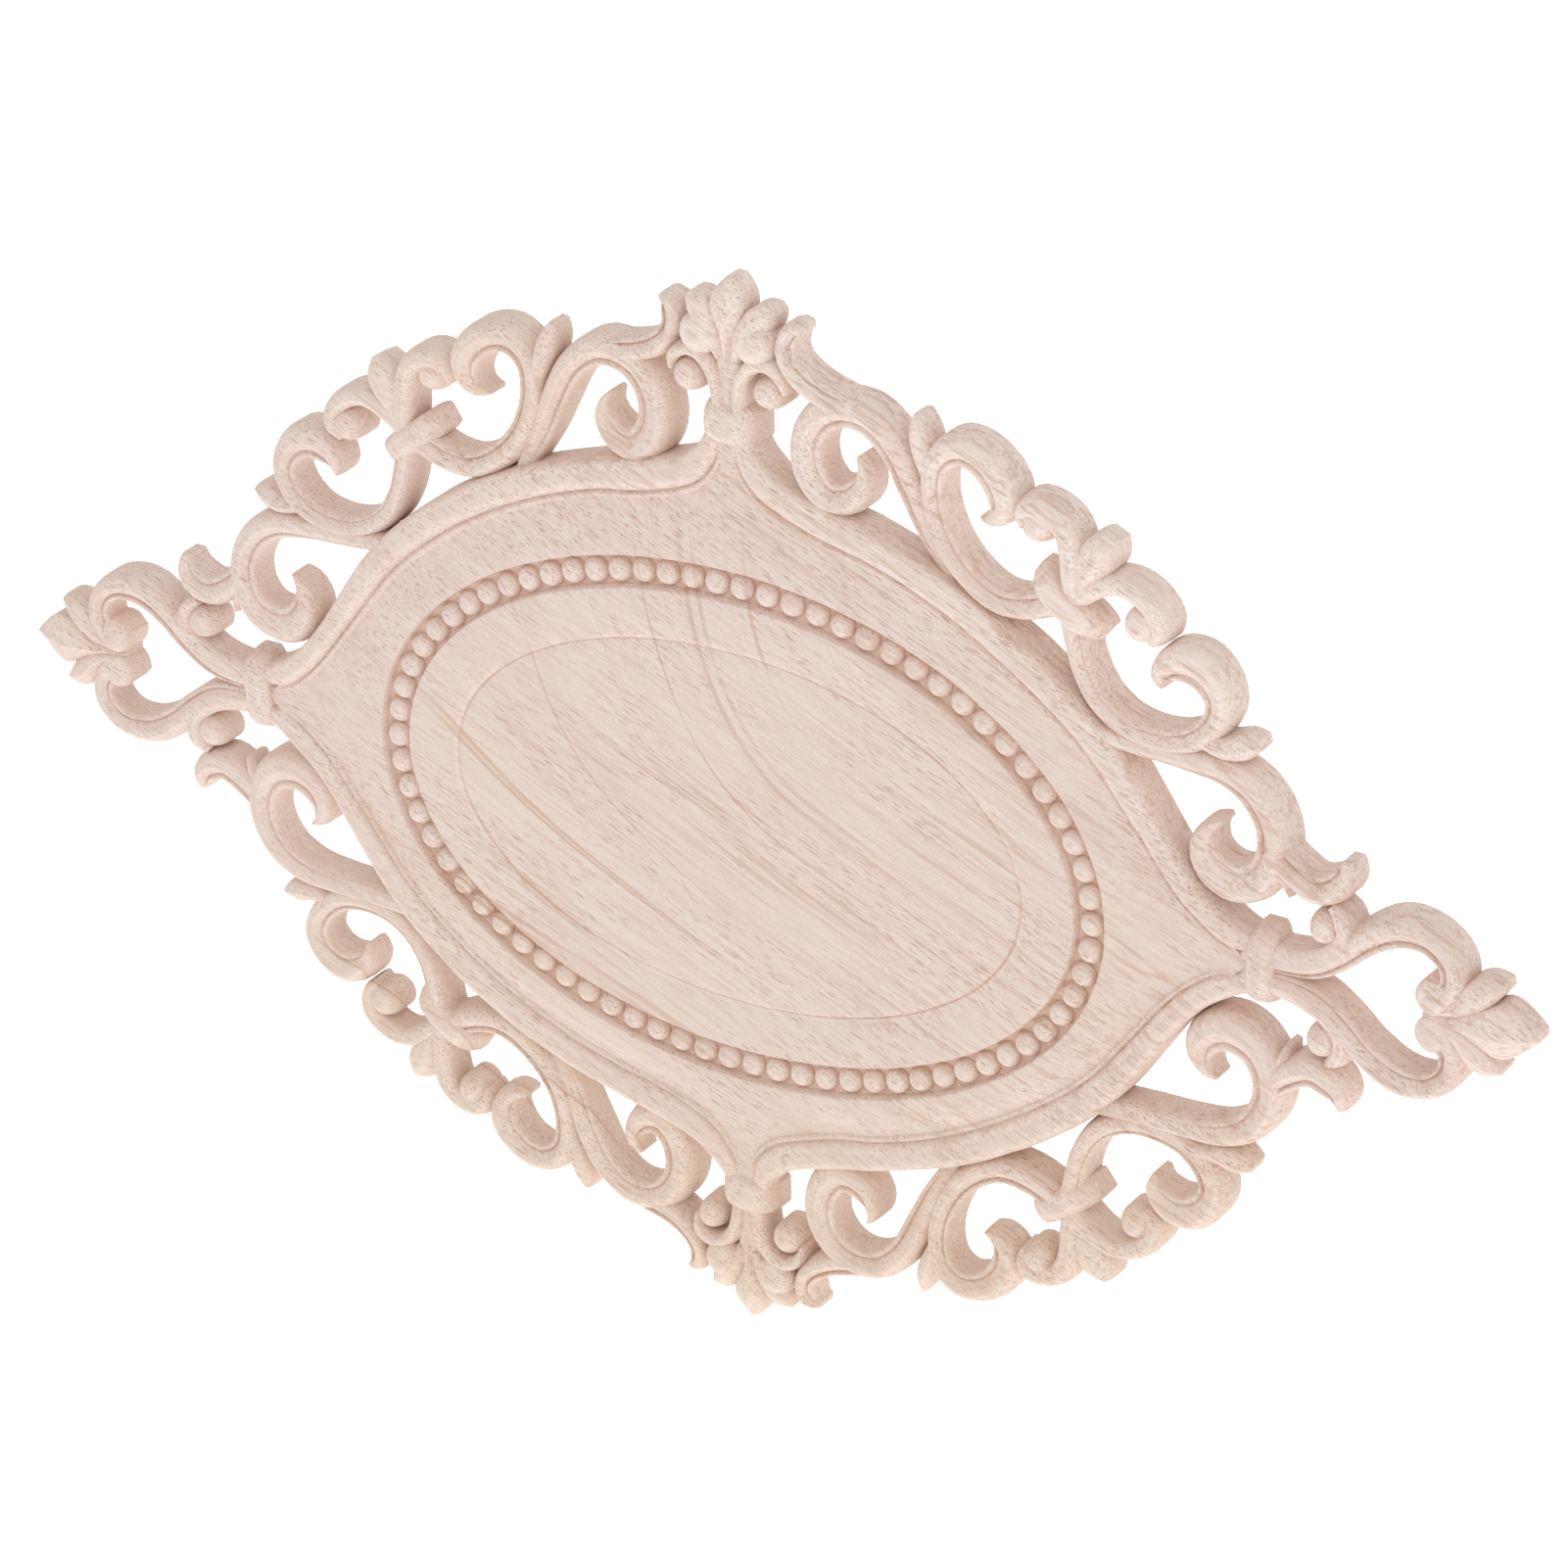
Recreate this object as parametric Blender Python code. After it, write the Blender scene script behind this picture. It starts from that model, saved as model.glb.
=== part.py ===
"""Carved openwork wood applique with a beaded oval in a pointed oval frame.

The applique stands upright as it is fixed to a furniture front: the long axis runs
along X, up is Z, the flat back lies on Y = 0 and the carving faces -Y.  The origin is
the middle of the back.  One quarter of the design is described here, and the other
three are its mirror images.
"""
import math

import bmesh
import bpy
import numpy as np

MM = 0.001

# Reach of the tips from the middle, in millimetres like the strands' points.
END_REACH = 150.0
CROWN_REACH = 98.9

# Heights above the flat back.
STRAND_CREST = 8.0 * MM
FRAME_CREST = 9.4 * MM
FIELD_EDGE = 7.9 * MM
PANEL_FACE = 9.2 * MM
STEP_DROP = 0.5 * MM
GROOVE_FLOOR = 6.6 * MM
BEAD_TOP = 9.6 * MM

# Ellipses of the middle panel, as half width and half height.
GROOVE_OUTER = (73.1 * MM, 48.4 * MM)
GROOVE_INNER = (67.3 * MM, 42.6 * MM)
STEP_ELLIPSE = (57.1 * MM, 33.1 * MM)
BEAD_COUNT = 74
BEAD_RADIUS = 2.35 * MM
BEAD_SIDES = 5

# Pieces start below the back and are cut off flat along it.
BURIED = 1.5 * MM
SLAB = (320.0 * MM, 8.0 * MM, 220.0 * MM)

# A strand is cut into straight steps: the longest step, and the largest turn between two.
SAMPLE_STEP = 9.0 * MM
CHORD_TURN = math.radians(36.0)
# Share of the bend's radius that a strand's inner half width may reach.
INNER_SHARE = 0.85
QUARTER_STEPS = 11
BALL_SIDES = 7

# Cross-sections: place across the strand from its outer (-1) to its inner side (1),
# and height as a share of the crest.
SCROLL_SECTION = ((-1.0, 0.86), (-0.25, 1.0), (0.48, 0.84), (1.0, 0.82))
ROUND_SECTION = ((-1.0, 0.74), (-0.42, 0.98), (0.42, 0.98), (1.0, 0.74))
VOLUTE_SECTION = ((-1.0, 0.80), (0.10, 1.0), (1.0, 0.80))
LEAF_SECTION = ((-1.0, 0.74), (-0.45, 1.0), (0.0, 0.84), (0.45, 1.0), (1.0, 0.74))

# Strands of the upper right quarter.  A point is (x, z, width) in millimetres, or
# (x, z, width, crest) where the crest height changes along the strand.  A strand
# turning clockwise has its thin inner lip on its right, so its side is -1.
STRANDS = {
    "frame": (ROUND_SECTION, -1, FRAME_CREST, [
        (1.9, 76.0, 4.6), (2.5, 69.6, 4.8), (8.8, 62.6, 6.0), (18.7, 58.7, 6.4),
        (36.9, 53.6, 6.5), (53.3, 45.8, 6.6), (65.8, 36.5, 6.4), (75.6, 25.2, 5.8),
        (83.2, 14.2, 5.2), (87.7, 8.9, 5.0), (92.9, 4.9, 5.2), (102.0, 2.9, 5.4)]),
    "innerScroll": (SCROLL_SECTION, -1, STRAND_CREST, [
        (24.3, 68.6, 1.0), (23.2, 65.6, 4.0), (20.5, 64.4, 6.2), (17.0, 66.0, 6.8),
        (14.6, 69.5, 6.5), (14.8, 74.0, 6.2), (17.2, 77.9, 5.8), (21.5, 79.9, 5.3),
        (26.5, 78.9, 5.3), (31.0, 74.9, 5.2), (34.2, 69.0, 5.2), (37.0, 62.8, 5.0),
        (40.5, 57.0, 4.4)]),
    "upperScroll": (SCROLL_SECTION, -1, STRAND_CREST, [
        (63.0, 56.0, 4.4), (57.0, 53.6, 4.6), (51.5, 53.2, 4.5), (46.3, 55.6, 4.5),
        (42.0, 59.8, 4.4), (39.3, 65.3, 4.2), (38.4, 70.8, 4.2), (39.7, 75.3, 4.6),
        (43.5, 77.7, 5.2), (48.2, 76.8, 5.6), (51.3, 73.2, 5.4), (51.6, 69.8, 4.6),
        (49.4, 68.4, 1.6)]),
    "sideScroll": (SCROLL_SECTION, 1, STRAND_CREST, [
        (64.5, 55.0, 4.0), (65.6, 50.0, 3.8), (66.6, 45.0, 3.7), (69.6, 40.2, 3.7),
        (74.2, 36.9, 3.6), (80.0, 35.9, 3.7), (85.5, 37.3, 4.2), (89.6, 41.2, 4.7),
        (90.2, 46.3, 5.2), (87.6, 50.3, 6.0), (83.6, 51.2, 6.0), (81.3, 48.8, 4.4),
        (81.3, 46.0, 1.4)]),
    "lowerScroll": (SCROLL_SECTION, -1, STRAND_CREST, [
        (70.5, 34.3, 3.6), (78.0, 33.9, 3.8), (86.0, 33.7, 3.9), (92.5, 33.0, 4.6),
        (97.8, 30.2, 5.2), (101.0, 25.3, 5.4), (101.2, 19.8, 5.6), (98.6, 15.2, 6.6),
        (94.2, 13.2, 7.4), (89.9, 14.8, 6.8), (88.3, 18.6, 5.2), (89.6, 21.4, 3.2),
        (91.3, 22.6, 1.2)]),
    "heartScroll": (SCROLL_SECTION, -1, STRAND_CREST, [
        (99.0, 1.9, 3.6), (108.0, 2.1, 3.8), (114.5, 5.8, 4.4), (119.3, 10.3, 5.0),
        (125.0, 13.0, 5.8), (130.6, 12.2, 5.8), (134.6, 8.4, 5.2), (134.9, 4.2, 4.0),
        (132.6, 2.0, 3.0)]),
    "crownVolute": (VOLUTE_SECTION, -1, STRAND_CREST, [
        (2.3, 74.5, 3.2), (2.4, 79.5, 3.4), (4.2, 82.8, 3.4), (7.3, 83.0, 3.2),
        (9.1, 80.9, 2.8), (8.4, 78.9, 2.0)]),
    "clampVoluteLeft": (VOLUTE_SECTION, 1, STRAND_CREST, [
        (65.0, 57.5, 3.6), (63.8, 62.5, 3.7), (63.4, 67.5, 3.7), (61.4, 71.0, 3.4),
        (58.4, 72.0, 3.0), (56.5, 70.0, 2.4)]),
    "clampVoluteRight": (VOLUTE_SECTION, -1, STRAND_CREST, [
        (65.5, 57.0, 3.6), (69.6, 60.6, 3.5), (73.8, 61.8, 3.4), (77.8, 60.8, 3.2),
        (79.5, 57.8, 2.8), (78.9, 55.6, 2.0)]),
    "tipVolute": (VOLUTE_SECTION, 1, STRAND_CREST, [
        (100.0, 2.9, 3.6), (108.5, 4.2, 3.4), (113.2, 7.2, 3.2), (115.3, 11.0, 3.0),
        (113.9, 14.2, 2.4)]),
    "crownHook": (VOLUTE_SECTION, 1, STRAND_CREST, [
        (20.0, 79.8, 3.6), (14.6, 82.6, 3.6), (11.4, 86.0, 3.4), (10.8, 89.3, 3.2),
        (12.6, 92.0, 1.6)]),
    "sideHook": (LEAF_SECTION, 1, STRAND_CREST, [
        (102.5, 20.5, 5.0), (106.0, 18.3, 4.6), (110.0, 17.3, 4.4), (113.4, 19.0, 4.4),
        (115.3, 21.8, 1.8)]),
    "sideSpur": (VOLUTE_SECTION, 1, 0.8 * STRAND_CREST, [
        (102.5, 19.5, 3.0), (104.3, 16.5, 2.6), (104.4, 13.6, 1.4)]),
    "upperBud": (LEAF_SECTION, 1, STRAND_CREST, [
        (38.6, 71.5, 3.0), (36.2, 78.0, 4.4), (36.3, 80.8, 3.8), (36.4, 83.2, 1.2)]),
    "sideBud": (LEAF_SECTION, 1, STRAND_CREST, [
        (88.3, 39.6, 3.0), (94.2, 38.2, 4.4), (97.0, 39.4, 3.8), (99.2, 40.4, 1.2)]),
    "clampBud": (LEAF_SECTION, 1, STRAND_CREST, [
        (65.5, 58.0, 3.0), (69.2, 63.9, 5.4), (71.4, 67.0, 4.6), (73.1, 69.6, 1.2)]),
    "crownLeaf": (LEAF_SECTION, 1, STRAND_CREST, [
        (0.9, 82.0, 2.6), (2.4, 87.0, 5.0), (5.2, 89.9, 4.2), (7.4, 91.8, 1.2)]),
    "tipLeaf": (LEAF_SECTION, 1, STRAND_CREST, [
        (134.0, 2.0, 4.0), (138.8, 4.6, 6.0), (142.0, 6.8, 4.4), (144.6, 8.8, 1.2)]),
    "clampBand": (ROUND_SECTION, 1, FRAME_CREST, [
        (59.0, 58.9, 4.2, 5.6 * MM), (60.2, 58.1, 4.8, 8.6 * MM), (63.4, 55.8, 5.0),
        (66.6, 53.5, 4.8, 8.6 * MM), (67.8, 52.6, 4.2, 5.6 * MM)]),
}

# Pieces that lie across the upright axis (top and bottom) or the long axis (ends).
CROWN_PARTS = {
    "crownBand": (ROUND_SECTION, 1, FRAME_CREST, [
        (-4.9, 74.4, 4.2, 5.6 * MM), (-3.8, 74.4, 4.8, 8.6 * MM), (0.0, 74.4, 5.0),
        (3.8, 74.4, 4.8, 8.6 * MM), (4.9, 74.4, 4.2, 5.6 * MM)]),
    "crownTip": (LEAF_SECTION, 1, STRAND_CREST, [
        (0.0, 76.0, 4.0), (0.0, 86.0, 4.4), (0.0, 92.4, 8.0), (0.0, 96.0, 5.6),
        (0.0, CROWN_REACH, 1.6)]),
}
END_PARTS = {
    "endBand": (ROUND_SECTION, 1, FRAME_CREST, [
        (100.4, -6.5, 4.0, 5.6 * MM), (100.4, -5.4, 4.6, 8.6 * MM), (100.4, 0.0, 4.8),
        (100.4, 5.4, 4.6, 8.6 * MM), (100.4, 6.5, 4.0, 5.6 * MM)]),
    "endTip": (LEAF_SECTION, 1, STRAND_CREST, [
        (131.0, 0.0, 5.0), (138.0, 0.0, 9.0), (143.5, 0.0, 11.0), (147.5, 0.0, 6.0),
        (END_REACH, 0.0, 1.6)]),
}

# Round knobs: centre x and z, radius, height at the rim and at the top.
KNOBS = {
    "crownKnob": (7.2, 79.7, 2.4, 5.6, 8.6),
    "clampKnobLeft": (58.5, 68.3, 2.8, 5.6, 8.6),
    "clampKnobRight": (77.2, 55.9, 2.8, 5.6, 8.6),
    "tipKnob": (112.2, 11.2, 2.9, 5.6, 8.6),
    "heartKnob": (131.7, 2.6, 2.9, 7.0, 8.0),
}


def curveThrough(points):
    """Return evenly fine samples of a smooth curve through the points' first two values."""
    pts = np.array(points, dtype=float)
    before = 2.0 * pts[0] - pts[1]
    after = 2.0 * pts[-1] - pts[-2]
    pts = np.vstack([before, pts, after])
    dense = []
    for i in range(1, len(pts) - 2):
        p0, p1, p2, p3 = pts[i - 1:i + 3]
        for t in np.linspace(0.0, 1.0, 12, endpoint=False):
            dense.append(0.5 * (2.0 * p1 + (p2 - p0) * t
                                + (2.0 * p0 - 5.0 * p1 + 4.0 * p2 - p3) * t ** 2
                                + (3.0 * p1 - p0 - 3.0 * p2 + p3) * t ** 3))
    dense.append(pts[-2])
    return np.array(dense)


def thinnedSamples(dense):
    """Keep the samples that the step length and the largest turn ask for."""
    keep = [0]
    for i in range(1, len(dense) - 1):
        gap = dense[i, :2] - dense[keep[-1], :2]
        ahead = dense[i + 1, :2] - dense[i, :2]
        start = dense[keep[-1] + 1, :2] - dense[keep[-1], :2]
        turn = abs(math.atan2(start[0] * ahead[1] - start[1] * ahead[0], start @ ahead))
        if np.hypot(*gap) > SAMPLE_STEP or turn > CHORD_TURN:
            keep.append(i)
    if np.hypot(*(dense[-1, :2] - dense[keep[-1], :2])) < 0.3 * SAMPLE_STEP:
        keep.pop()
    keep.append(len(dense) - 1)
    return dense[keep]


def addStrand(mesh, section, side, crest, points, mirror):
    """Add one strand, as a closed solid standing on the back plane."""
    full = [(x * MM, z * MM, width * MM, top[0] if top else crest)
            for x, z, width, *top in points]
    path = thinnedSamples(curveThrough(full))
    tangents = np.gradient(path[:, :2], axis=0)
    tangents /= np.linalg.norm(tangents, axis=1)[:, None]
    headings = np.unwrap(np.arctan2(tangents[:, 1], tangents[:, 0]))
    along = np.concatenate([[0.0], np.cumsum(np.hypot(*np.diff(path[:, :2], axis=0).T))])
    bends = side * np.gradient(headings, along)
    rings = []
    for (x, z, width, top), (tx, tz), bend in zip(path, tangents, bends):
        inner = 0.5 * width if bend <= 0.0 else min(0.5 * width, INNER_SHARE / bend)
        spots = [(across * (inner if across > 0.0 else 0.5 * width), top * share)
                 for across, share in section]
        spots = [(spots[0][0], -BURIED)] + spots + [(spots[-1][0], -BURIED)]
        rings.append([mesh.verts.new((mirror[0] * (x - tz * side * offset), -height,
                                      mirror[1] * (z + tx * side * offset)))
                      for offset, height in spots])
    count = len(section) + 2
    faces = [rings[0][::-1], rings[-1]]
    for near, far in zip(rings, rings[1:]):
        for i in range(count):
            j = (i + 1) % count
            faces.append([near[i], near[j], far[j], far[i]])
    turned = side * mirror[0] * mirror[1] < 0
    for corners in faces:
        mesh.faces.new(corners if turned else corners[::-1])


def addKnob(mesh, values, mirror):
    """Add one round knob with a domed top."""
    x, z, radius, rim, top = (v * MM for v in values)
    levels = ((1.0, -BURIED), (1.0, rim), (0.72, rim + 0.72 * (top - rim)))
    rings = []
    for share, height in levels:
        rings.append([mesh.verts.new((mirror[0] * (x + radius * share * math.cos(a)), -height,
                                      mirror[1] * (z + radius * share * math.sin(a))))
                      for a in np.arange(BALL_SIDES) * 2.0 * math.pi / BALL_SIDES])
    pole = mesh.verts.new((mirror[0] * x, -top, mirror[1] * z))
    faces = [rings[0][::-1]]
    for near, far in zip(rings, rings[1:]):
        for i in range(BALL_SIDES):
            j = (i + 1) % BALL_SIDES
            faces.append([near[i], near[j], far[j], far[i]])
    for i in range(BALL_SIDES):
        faces.append([rings[-1][i], rings[-1][(i + 1) % BALL_SIDES], pole])
    turned = mirror[0] * mirror[1] < 0
    for corners in faces:
        mesh.faces.new(corners[::-1] if turned else corners)


def ellipsePoint(axes, share):
    """Return the point of a quarter ellipse, from the top (0) to the end (1)."""
    angle = 0.5 * math.pi * (1.0 - share)
    return axes[0] * math.cos(angle), axes[1] * math.sin(angle)


def frameLine():
    """Return the quarter line under the middle of the frame, from top to end."""
    middle = [p[:2] for p in STRANDS["frame"][3][2:-1]]
    dense = curveThrough([(0.0, 69.0)] + middle + [(98.0, 0.0)]) * MM
    steps = np.hypot(*np.diff(dense, axis=0).T)
    along = np.concatenate([[0.0], np.cumsum(steps)]) / steps.sum()
    shares = np.linspace(0.0, 1.0, QUARTER_STEPS + 1)
    return [(np.interp(s, along, dense[:, 0]), np.interp(s, along, dense[:, 1])) for s in shares]


def wholeLoop(quarter):
    """Mirror a quarter line into a closed loop of points."""
    right = quarter[:-1]
    lower = [(x, -z) for x, z in quarter[::-1]][:-1]
    left = [(-x, -z) for x, z in quarter][:-1]
    upper = [(-x, z) for x, z in quarter[::-1]][:-1]
    return right + lower + left + upper


def addPanel(mesh):
    """Add the middle panel: the field, the bead groove and the oval with its step."""
    shares = np.linspace(0.0, 1.0, QUARTER_STEPS + 1)
    outline = wholeLoop(frameLine())
    outer, inner, step = (wholeLoop([ellipsePoint(axes, s) for s in shares])
                          for axes in (GROOVE_OUTER, GROOVE_INNER, STEP_ELLIPSE))
    dished = [(0.96 * x, 0.95 * z) for x, z in step]
    levels = ((outline, -BURIED), (outline, FIELD_EDGE), (outer, PANEL_FACE), (outer, GROOVE_FLOOR),
              (inner, GROOVE_FLOOR), (inner, PANEL_FACE), (step, PANEL_FACE),
              (dished, PANEL_FACE - STEP_DROP))
    rings = [[mesh.verts.new((x, -height, z)) for x, z in line] for line, height in levels]
    middle = mesh.verts.new((0.0, -PANEL_FACE, 0.0))
    count = len(outline)
    mesh.faces.new(rings[0])
    for near, far in zip(rings, rings[1:]):
        for i in range(count):
            j = (i + 1) % count
            mesh.faces.new([near[j], near[i], far[i], far[j]])
    for i in range(count):
        mesh.faces.new([rings[-1][(i + 1) % count], rings[-1][i], middle])


def beadPlaces():
    """Return evenly spaced points on the middle line of the groove."""
    axes = [0.5 * (a + b) for a, b in zip(GROOVE_OUTER, GROOVE_INNER)]
    angles = np.linspace(0.0, 2.0 * math.pi, 2001)
    xs, zs = axes[0] * np.cos(angles), axes[1] * np.sin(angles)
    along = np.concatenate([[0.0], np.cumsum(np.hypot(np.diff(xs), np.diff(zs)))])
    for k in range(BEAD_COUNT):
        angle = np.interp((k + 0.5) / BEAD_COUNT * along[-1], along, angles)
        yield axes[0] * math.cos(angle), axes[1] * math.sin(angle)


def addBeads(mesh):
    """Add the beads as low domes standing through the groove's floor."""
    root = GROOVE_FLOOR - 1.0 * MM
    for x, z in beadPlaces():
        rings = []
        for share, height in ((1.05, root), (0.6, BEAD_TOP)):
            rings.append([mesh.verts.new((x + BEAD_RADIUS * share * math.cos(a), -height,
                                          z + BEAD_RADIUS * share * math.sin(a)))
                          for a in np.arange(BEAD_SIDES) * 2.0 * math.pi / BEAD_SIDES])
        mesh.faces.new(rings[0][::-1])
        mesh.faces.new(rings[-1])
        for near, far in zip(rings, rings[1:]):
            for i in range(BEAD_SIDES):
                j = (i + 1) % BEAD_SIDES
                mesh.faces.new([near[i], near[j], far[j], far[i]])


def makeObject(name, mesh, material):
    """Turn a bmesh into a named object with the wood material."""
    bmesh.ops.recalc_face_normals(mesh, faces=mesh.faces[:])
    data = bpy.data.meshes.new(name)
    mesh.to_mesh(data)
    mesh.free()
    data.materials.append(material)
    obj = bpy.data.objects.new(name, data)
    bpy.context.scene.collection.objects.link(obj)
    return obj


def makeWood():
    """Return the pale, unfinished wood."""
    wood = bpy.data.materials.new("paleWood")
    wood.use_nodes = True
    shader = wood.node_tree.nodes["Principled BSDF"]
    shader.inputs["Base Color"].default_value = (0.74, 0.62, 0.56, 1.0)
    shader.inputs["Roughness"].default_value = 0.7
    shader.inputs["Metallic"].default_value = 0.0
    return wood


def main():
    for obj in list(bpy.data.objects):
        bpy.data.objects.remove(obj, do_unlink=True)
    wood = makeWood()

    carving = bmesh.new()
    mirrors = [(sx, sz) for sx in (1, -1) for sz in (1, -1)]
    for mirror in mirrors:
        for section, side, crest, points in STRANDS.values():
            addStrand(carving, section, side, crest, points, mirror)
        for values in KNOBS.values():
            addKnob(carving, values, mirror)
    for section, side, crest, points in CROWN_PARTS.values():
        for mirror in ((1, 1), (1, -1)):
            addStrand(carving, section, side, crest, points, mirror)
    for section, side, crest, points in END_PARTS.values():
        for mirror in ((1, 1), (-1, 1)):
            addStrand(carving, section, side, crest, points, mirror)
    addBeads(carving)
    scrolls = makeObject("scrollwork", carving, wood)
    scrolls.hide_render = True
    scrolls.display_type = "WIRE"

    panel = bmesh.new()
    addPanel(panel)
    applique = makeObject("applique", panel, wood)
    union = applique.modifiers.new("union", "BOOLEAN")
    union.operation = "UNION"
    union.solver = "EXACT"
    union.use_self = True
    union.object = scrolls

    block = bmesh.new()
    bmesh.ops.create_cube(block, size=1.0)
    bmesh.ops.scale(block, vec=SLAB, verts=block.verts)
    bmesh.ops.translate(block, vec=(0.0, 0.5 * SLAB[1], 0.0), verts=block.verts)
    slab = makeObject("backSlab", block, wood)
    slab.hide_render = True
    slab.display_type = "WIRE"
    flatBack = applique.modifiers.new("flatBack", "BOOLEAN")
    flatBack.operation = "DIFFERENCE"
    flatBack.solver = "EXACT"
    flatBack.object = slab
    tidyUp = applique.modifiers.new("tidyUp", "DECIMATE")
    tidyUp.decimate_type = "DISSOLVE"
    tidyUp.angle_limit = math.radians(4.0)
    split = applique.modifiers.new("triangles", "TRIANGULATE")
    split.min_vertices = 4


main()
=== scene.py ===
import math

import bmesh
import bpy
import numpy as np
from mathutils import Matrix, Vector


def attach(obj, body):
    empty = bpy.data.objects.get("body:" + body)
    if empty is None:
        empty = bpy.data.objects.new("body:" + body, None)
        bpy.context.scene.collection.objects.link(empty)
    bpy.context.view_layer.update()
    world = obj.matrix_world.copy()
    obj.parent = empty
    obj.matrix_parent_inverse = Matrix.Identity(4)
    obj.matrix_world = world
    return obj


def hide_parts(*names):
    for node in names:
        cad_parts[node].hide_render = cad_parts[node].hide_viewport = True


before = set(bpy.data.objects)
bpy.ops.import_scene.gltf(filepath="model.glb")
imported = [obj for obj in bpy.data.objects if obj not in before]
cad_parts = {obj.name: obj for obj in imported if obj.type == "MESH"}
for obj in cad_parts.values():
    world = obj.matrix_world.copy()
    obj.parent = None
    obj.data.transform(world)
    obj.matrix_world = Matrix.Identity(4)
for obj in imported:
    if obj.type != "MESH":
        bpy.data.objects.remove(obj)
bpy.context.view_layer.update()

mm = 0.001

# Heights are above the flat back, which lies on Y = 0; the carving faces -Y.
relief = {
    "strandCrest": 7.1,
    "fieldEdge": 6.0,      # the field where it meets the frame's inner crease
    "panelFace": 7.7,      # the field's inner rim and the oval's outer rim
    "stepHeight": 7.25,    # the thin line round the oval
    "grooveFloor": 5.6,
    "buried": 1.5,         # strands start this far behind the back and are cut flat
    "sharpAngle": 34.0,    # edges that turn by more than this stay crisp
}

panel = {
    "grooveOuter": (72.5, 48.1),
    "grooveInner": (66.7, 42.3),
    "stepEllipse": (56.5, 33.0),
    "lowered": 0.5,        # the whole panel sits this much below the middle line
    "quarterSteps": 60,
    "topPoint": (0.0, 68.0),
    "endPoint": (97.5, 0.0),
    "slopeShares": (0.12, 0.25, 0.4, 0.55, 0.7, 0.85, 0.95),
    "ovalShares": (0.2, 0.4, 0.6, 0.8, 0.91),
    "ovalCrown": 0.12,     # how far the oval swells between the groove and the step line
    "middleRise": 0.47,    # how far the middle stands above the step line
}

# Rows across the bead groove, from its outer to its inner rim: ellipse, distance outside that
# ellipse, level, and height above that level.
grooveRows = (
    ("grooveOuter", 0.5, "panelFace", 0.0), ("grooveOuter", 0.15, "panelFace", -0.06),
    ("grooveOuter", 0.0, "panelFace", -0.3), ("grooveOuter", -0.12, "grooveFloor", 0.9),
    ("grooveOuter", -0.4, "grooveFloor", 0.25), ("grooveOuter", -0.9, "grooveFloor", 0.0),
    ("grooveInner", 0.9, "grooveFloor", 0.0), ("grooveInner", 0.4, "grooveFloor", 0.25),
    ("grooveInner", 0.12, "grooveFloor", 0.9), ("grooveInner", 0.0, "panelFace", -0.3),
    ("grooveInner", -0.15, "panelFace", -0.06), ("grooveInner", -0.5, "panelFace", 0.0),
)

# Rows of the step line: distance outside its ellipse, height above its level.
stepRows = ((0.25, 0.0), (0.0, -0.22), (-0.2, -0.02))

# Rows inside the step line: share of its ellipse, height above it.
ovalRows = ((0.985, 0.07), (0.95, 0.14), (0.88, 0.24), (0.75, 0.34), (0.55, 0.42), (0.3, 0.46))

unevenness = {
    "quarterBlend": 12.0,  # the quarters blend this far to each side of the middle lines
    "rimStart": 1.04,      # where the straying starts, as a multiple of the groove's outer ellipse
    "rimWidth": 0.12,
    "wave": 0.10,          # slow rise and fall of the surface
}

# Each quarter was carved by hand: how far it strays from the drawing, as x and z, at five places
# counted outwards from the upright middle line.
driftPlaces = (5.0, 25.0, 55.0, 88.0, 130.0)
drift = {
    "upperLeft": ((0.0, 0.0), (-0.2, 1.3), (-0.5, 0.4), (-1.1, 0.0), (-0.5, -0.4)),
    "upperRight": ((0.0, 0.0), (0.8, 0.3), (-0.6, -0.4), (1.2, -0.6), (0.0, -0.8)),
    "lowerRight": ((0.0, 0.8), (0.4, 0.4), (-0.7, 0.9), (0.8, 0.2), (0.0, -0.6)),
    "lowerLeft": ((0.0, 1.5), (0.9, 0.6), (1.0, 0.2), (0.4, -0.2), (-0.4, -0.4)),
}

beadRow = {
    "count": 74,
    "radius": 2.38,
    "halfWidth": 69.6,
    "halfHeight": 45.2,
    "middleHeight": 5.6,   # middle of a bead above the back
    "unevenness": 0.05,
    "seed": 7,
}

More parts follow.
